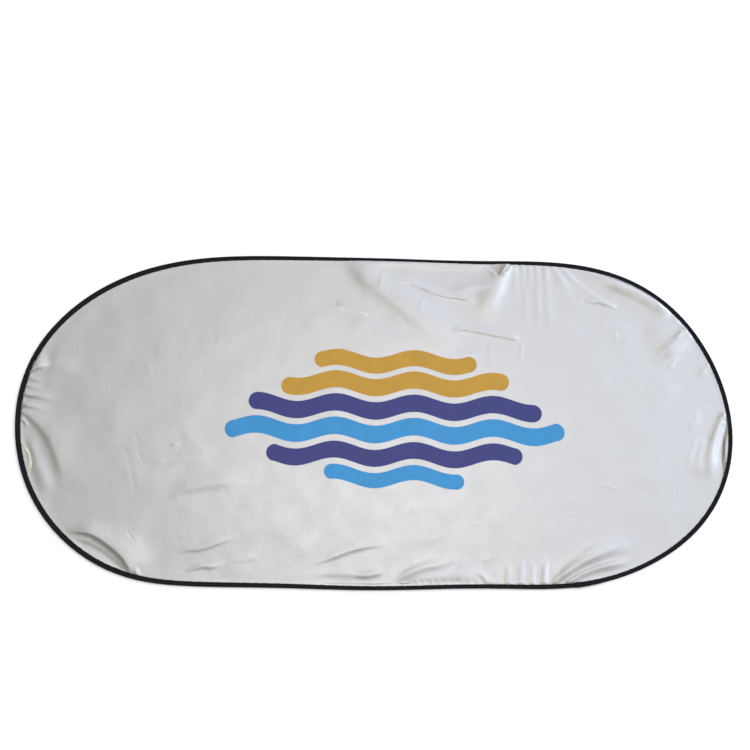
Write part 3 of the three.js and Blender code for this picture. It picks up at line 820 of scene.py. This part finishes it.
def seam_thread(name, top):
    pitch = 3.2
    arcs, s_, z = seam_line(pitch, 0, top)
    p = at(arcs, s_, z)
    q = at(arcs + pitch * 0.86, s_, z)
    if top:
        # bar tacks over the elastics' ends
        for a, b, _, _ in LOOPS:
            for m in (a + 7, b - 7):
                k = np.arange(-6, 7)
                sa, fl = m + k * 0.55, front_leg(m)
                zz = np.full(len(k), SHEET_Z + 0.27 + TAPE_T + float(lift(m)) - 0.02)
                p = np.vstack([p, at(sa, np.full(len(k), EDGE - fl + 0.9), zz)])
                q = np.vstack([q, at(sa, np.full(len(k), EDGE - fl + 4.6), zz)])
    return stitches(name, p, q, 0.46, 0.30, 1 if top else -1, 0.10)


thread_top = seam_thread("seam_stitches_front", True)
thread_low = seam_thread("seam_stitches_back", False)


# =================================================================================================================
# Elastic loops
# =================================================================================================================
def build_loop(name, a, b, bulge, lean):
    steps, ribs = 150, 12
    t = np.linspace(0, 1, steps + 1)
    m = np.minimum(t, 1 - t)
    d = loop_inset(t, bulge)
    roll = math.radians(lean) * smooth((m - 0.27) / 0.2)
    low = SHEET_Z + 0.25 + 0.25
    z = low + LOOP_T / 2 * np.cos(roll) + LOOP_W / 2 * np.sin(roll)
    arc = a + (b - a) * t
    # ribbed section: across w, thickness th
    w = np.linspace(1, -1, ribs * 4 + 1)
    bulk = 0.78 + 0.22 * np.abs(np.cos(w * ribs * math.pi / 2))
    edge = np.sqrt(np.clip(1 - np.abs(w) ** 14, 0, 1))
    th = LOOP_T / 2 * bulk * np.maximum(edge, 0.15)
    sec_w = np.r_[w, w[::-1]] * (LOOP_W / 2)
    sec_t = np.r_[th, -th[::-1]]
    rows, uv = [], []
    for i in range(len(t)):
        c, s = math.cos(roll[i]), math.sin(roll[i])
        ss = -d[i] + sec_w * c - sec_t * s
        zz = z[i] + sec_w * s + sec_t * c
        rows.append(at(np.full(len(ss), arc[i]), ss, zz))
        uv.append(np.column_stack([np.full(len(ss), arc[i] - a), sec_w]) * 0.001)
    return sweep(name, np.array(rows), False, uvs={"tape": np.array(uv)})


loops = [build_loop("elastic_left", *LOOPS[0]), build_loop("elastic_right", *LOOPS[1])]

# =================================================================================================================
# Materials
# =================================================================================================================
class Nodes:
    """Small helper to write node trees as expressions."""

    def __init__(self, name):
        self.mat = bpy.data.materials.new(name)
        self.mat.use_nodes = True
        self.t = self.mat.node_tree
        self.bsdf = self.t.nodes["Principled BSDF"]

    def new(self, kind, **props):
        n = self.t.nodes.new(kind)
        for k, v in props.items():
            setattr(n, k, v)
        return n

    def put(self, socket, value):
        if isinstance(value, bpy.types.NodeSocket):
            self.t.links.new(value, socket)
        elif value is not None:
            socket.default_value = value

    def math(self, op, a, b=None, c=None, clamp=False):
        n = self.new("ShaderNodeMath", operation=op, use_clamp=clamp)
        for i, v in enumerate((a, b, c)):
            self.put(n.inputs[i], v)
        return n.outputs[0]

    def uv(self, name):
        n = self.new("ShaderNodeUVMap", uv_map=name)
        x = self.new("ShaderNodeSeparateXYZ")
        self.t.links.new(n.outputs[0], x.inputs[0])
        return n.outputs[0], x.outputs[0], x.outputs[1]

    def scaled(self, vector, scale, turn=0.0):
        n = self.new("ShaderNodeMapping")
        self.put(n.inputs["Vector"], vector)
        n.inputs["Scale"].default_value = scale
        n.inputs["Rotation"].default_value = (0, 0, turn)
        return n.outputs[0]

    def noise(self, vector, scale, detail=2.0, rough=0.5):
        n = self.new("ShaderNodeTexNoise")
        self.put(n.inputs["Vector"], vector)
        n.inputs["Scale"].default_value = scale
        n.inputs["Detail"].default_value = detail
        n.inputs["Roughness"].default_value = rough
        return n.outputs[0]

    def remap(self, value, a, b, c, d, kind="LINEAR"):
        n = self.new("ShaderNodeMapRange", interpolation_type=kind)
        for i, v in enumerate((value, a, b, c, d)):
            self.put(n.inputs[i], v)
        return n.outputs[0]

    def mix(self, fac, a, b):
        n = self.new("ShaderNodeMix", data_type="RGBA")
        self.put(n.inputs[0], fac)
        self.put(n.inputs[6], (*a, 1) if isinstance(a, tuple) else a)
        self.put(n.inputs[7], (*b, 1) if isinstance(b, tuple) else b)
        return n.outputs[2]

    def bump(self, height, distance, strength=1.0, after=None):
        n = self.new("ShaderNodeBump")
        self.put(n.inputs["Height"], height)
        n.inputs["Distance"].default_value = distance
        n.inputs["Strength"].default_value = strength
        self.put(n.inputs["Normal"], after)
        return n.outputs[0]

    def set(self, **values):
        for k, v in values.items():
            self.put(self.bsdf.inputs[k.replace("_", " ")], v)
        return self.mat


def silver(name, colour, printed):
    m = Nodes(name)
    uv, x, y = m.uv("cut")
    # threads of the plain weave, their unevenness, and fine crinkles in the coating
    warp = m.math("SINE", m.math("MULTIPLY", x, 2 * math.pi / 0.00052))
    weft = m.math("SINE", m.math("MULTIPLY", y, 2 * math.pi / 0.00044))
    weave = m.math("MULTIPLY", warp, weft)
    slub = m.noise(m.scaled(uv, (40, 1500, 1)), 1.0, 2, 0.6)
    slub2 = m.noise(m.scaled(uv, (1300, 30, 1)), 1.0, 2, 0.6)
    crinkle = m.noise(m.scaled(uv, (210, 150, 1), 0.3), 1.0, 3, 0.55)
    mottle = m.noise(uv, 26, 4, 0.6)
    broad_ = m.noise(uv, 5.5, 2, 0.5)
    tone = m.math("ADD", m.remap(mottle, 0.3, 0.7, -0.022, 0.022), m.remap(broad_, 0.3, 0.7, -0.02, 0.02))
    tone = m.math("ADD", tone, m.remap(slub, 0.3, 0.7, -0.010, 0.010))
    tone = m.math("ADD", tone, m.remap(slub2, 0.3, 0.7, -0.008, 0.008))
    dark = tuple(c * 0.9 for c in colour)
    light = tuple(min(1, c * 1.1) for c in colour)
    base = m.mix(m.math("ADD", tone, 0.5, clamp=True), dark, light)
    rough = m.remap(m.math("ADD", mottle, m.math("MULTIPLY", slub, 0.5)), 0.5, 1.0, 0.36, 0.46)
    metal = 0.75
    n1 = m.bump(crinkle, 0.00022, 1.0)
    n2 = m.bump(m.math("ADD", weave, m.math("ADD", slub, slub2)), 0.000012, 1.0, n1)
    if printed:
        inked = None
        for x0, y0, length, thick, amp, wave, phase, ink in WAVES:
            dx = m.math("SUBTRACT", x, x0)
            end = m.math("MINIMUM", m.math("MAXIMUM", dx, -length / 2), length / 2)
            crest = m.math("MULTIPLY", m.math("SINE", m.math("MULTIPLY_ADD", end, 2 * math.pi / wave, phase)), amp)
            dy = m.math("MULTIPLY", m.math("SUBTRACT", m.math("SUBTRACT", y, y0), crest), 0.96)
            gap = m.math("SUBTRACT", dx, end)
            far = m.math("SQRT", m.math("ADD", m.math("MULTIPLY", gap, gap), m.math("MULTIPLY", dy, dy)))
            # the screen's slightly soft, dry edge
            far = m.math("MULTIPLY_ADD", m.math("SUBTRACT", slub, 0.5), 0.0008, far)
            on = m.remap(far, thick / 2 - 0.0006, thick / 2 + 0.0006, 1.0, 0.0, "SMOOTHSTEP")
            flood = m.mix(m.remap(mottle, 0.35, 0.65, 0, 1), tuple(c * 0.93 for c in ink), tuple(min(1, c * 1.05) for c in ink))
            base = m.mix(on, base, flood)
            inked = on if inked is None else m.math("MAXIMUM", inked, on)
        metal = m.remap(inked, 0, 1, 0.75, 0.12)
        rough = m.math("MULTIPLY_ADD", inked, 0.04, rough)
    return m.set(Base_Color=base, Roughness=rough, Metallic=metal, Normal=n2)


GOLD, SKY, NAVY = (0.44, 0.237, 0.011), (0.016, 0.225, 0.50), (0.015, 0.018, 0.15)
WAVES = [
    # middle x, y, length, thickness, wave height, wavelength, phase (metres), ink
    (0.044, 0.118, 0.300, 0.034, 0.009, 0.160, 0.0, GOLD),
    (0.044, 0.070, 0.430, 0.036, 0.009, 0.160, 0.0, GOLD),
    (0.044, 0.020, 0.560, 0.036, 0.009, 0.160, 0.0, NAVY),
    (0.044, -0.030, 0.650, 0.036, 0.009, 0.160, 0.0, SKY),
    (0.044, -0.080, 0.480, 0.034, 0.009, 0.160, 0.0, NAVY),
    (0.044, -0.126, 0.250, 0.030, 0.009, 0.160, 0.0, SKY),
]


def tape_material(name):
    m = Nodes(name)
    uv, x, y = m.uv("tape")
    ribs = m.math("SINE", m.math("MULTIPLY", x, 2 * math.pi / 0.0009))
    ends = m.math("SINE", m.math("MULTIPLY", y, 2 * math.pi / 0.0006))
    weave = m.math("MULTIPLY", ribs, ends)
    worn = m.noise(m.scaled(uv, (60, 260, 1)), 1.0, 3, 0.6)
    fluff = m.noise(m.scaled(uv, (900, 900, 1)), 1.0, 2, 0.6)
    base = m.mix(m.remap(worn, 0.35, 0.75, 0, 1), (0.0042, 0.0042, 0.0062), (0.0115, 0.0115, 0.0160))
    base = m.mix(m.remap(weave, -1, 1, 0, 0.35), base, (0.017, 0.017, 0.022))
    normal = m.bump(m.math("ADD", weave, fluff), 0.00006, 1.0)
    return m.set(Base_Color=base, Roughness=m.remap(worn, 0.3, 0.7, 0.62, 0.78), Specular_IOR_Level=0.08, Normal=normal)


def thread_material(name):
    m = Nodes(name)
    co = m.new("ShaderNodeTexCoord").outputs["Object"]
    n = m.noise(co, 900, 2, 0.5)
    twist = m.noise(m.scaled(co, (2600, 2600, 900), 0.6), 1.0, 2, 0.5)
    base = m.mix(n, (0.010, 0.010, 0.014), (0.030, 0.030, 0.038))
    return m.set(Base_Color=base, Roughness=m.remap(n, 0.3, 0.7, 0.42, 0.58), Specular_IOR_Level=0.2,
                 Normal=m.bump(twist, 0.00004))


def elastic_material(name, tone=1.0):
    m = Nodes(name)
    # tone scales all of the elastic's colours; a tone below 1 is painted shade
    pale, ivory, gap = (tuple(c * tone for c in k) for k in ((0.62, 0.58, 0.45), (0.74, 0.71, 0.58), (0.42, 0.37, 0.25)))
    uv, x, y = m.uv("tape")
    cords = m.math("SINE", m.math("MULTIPLY", y, 2 * math.pi / 0.0005))
    picks = m.math("SINE", m.math("MULTIPLY", x, 2 * math.pi / 0.0008))
    knit = m.math("MULTIPLY", cords, picks)
    soil = m.noise(m.scaled(uv, (90, 300, 1)), 1.0, 3, 0.6)
    base = m.mix(m.remap(soil, 0.35, 0.7, 0, 1), pale, ivory)
    base = m.mix(m.remap(knit, -1, 1, 0.3, 0.0), base, gap)
    return m.set(Base_Color=base, Roughness=m.remap(soil, 0.3, 0.7, 0.72, 0.88), Normal=m.bump(knit, 0.00010))


def steel_material(name, tint, crimped):
    m = Nodes(name)
    co = m.new("ShaderNodeTexCoord").outputs["Object"]
    grain = m.noise(m.scaled(co, (220, 220, 220)), 1.0, 4, 0.6)
    fine = m.noise(m.scaled(co, (2400, 2400, 2400)), 1.0, 2, 0.5)
    base = m.mix(m.remap(grain, 0.3, 0.7, 0, 1), tuple(c * 0.82 for c in tint), tint)
    rough = m.remap(grain, 0.3, 0.7, 0.24, 0.40 if crimped else 0.34)
    return m.set(Base_Color=base, Roughness=rough, Metallic=1.0, Normal=m.bump(fine, 0.00002))


def floor_material(name):
    m = Nodes(name)
    co = m.new("ShaderNodeTexCoord").outputs["Object"]
    n = m.noise(co, 60, 3, 0.5)
    return m.set(Base_Color=m.mix(n, (0.955, 0.955, 0.955), (0.975, 0.975, 0.975)), Roughness=1.0)


cloth.data.materials.append(silver("silver_cloth_printed", (0.455, 0.45, 0.45), True))
cloth.data.materials.append(silver("silver_cloth_back", (0.435, 0.435, 0.43), False))
tape_mat = tape_material("black_woven_tape")
thread_mat = thread_material("black_sewing_thread")
for o in (binding, lap):
    o.data.materials.append(tape_mat)
for o in (thread_top, thread_low):
    o.data.materials.append(thread_mat)
loops[0].data.materials.append(elastic_material("ivory_woven_elastic"))
# the right loop is the same elastic darkened to 0.55: painted shade for its side turned away from the light
loops[1].data.materials.append(elastic_material("ivory_woven_elastic_painted_shade", 0.55))
floor.data.materials.append(floor_material("floor_white"))
for node, mat in (("spring_wire", steel_material("spring_steel_wire", (0.52, 0.52, 0.54), False)),
                  ("wire_sleeve", steel_material("crimped_steel_sleeve", (0.60, 0.60, 0.61), True))):
    o = bpy.data.objects[node]
    for slot in o.material_slots:
        slot.material = mat

# =================================================================================================================
# Attach to the body; hide the CAD pieces that these meshes stand in for
# =================================================================================================================
for o in (cloth, binding, lap, thread_top, thread_low, *loops):
    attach(o, "root")
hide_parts("shade_panel")
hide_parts("edge_binding")
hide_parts("elastic_loop_left")
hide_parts("elastic_loop_right")
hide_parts("seam_thread_upper")
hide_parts("seam_thread_lower")
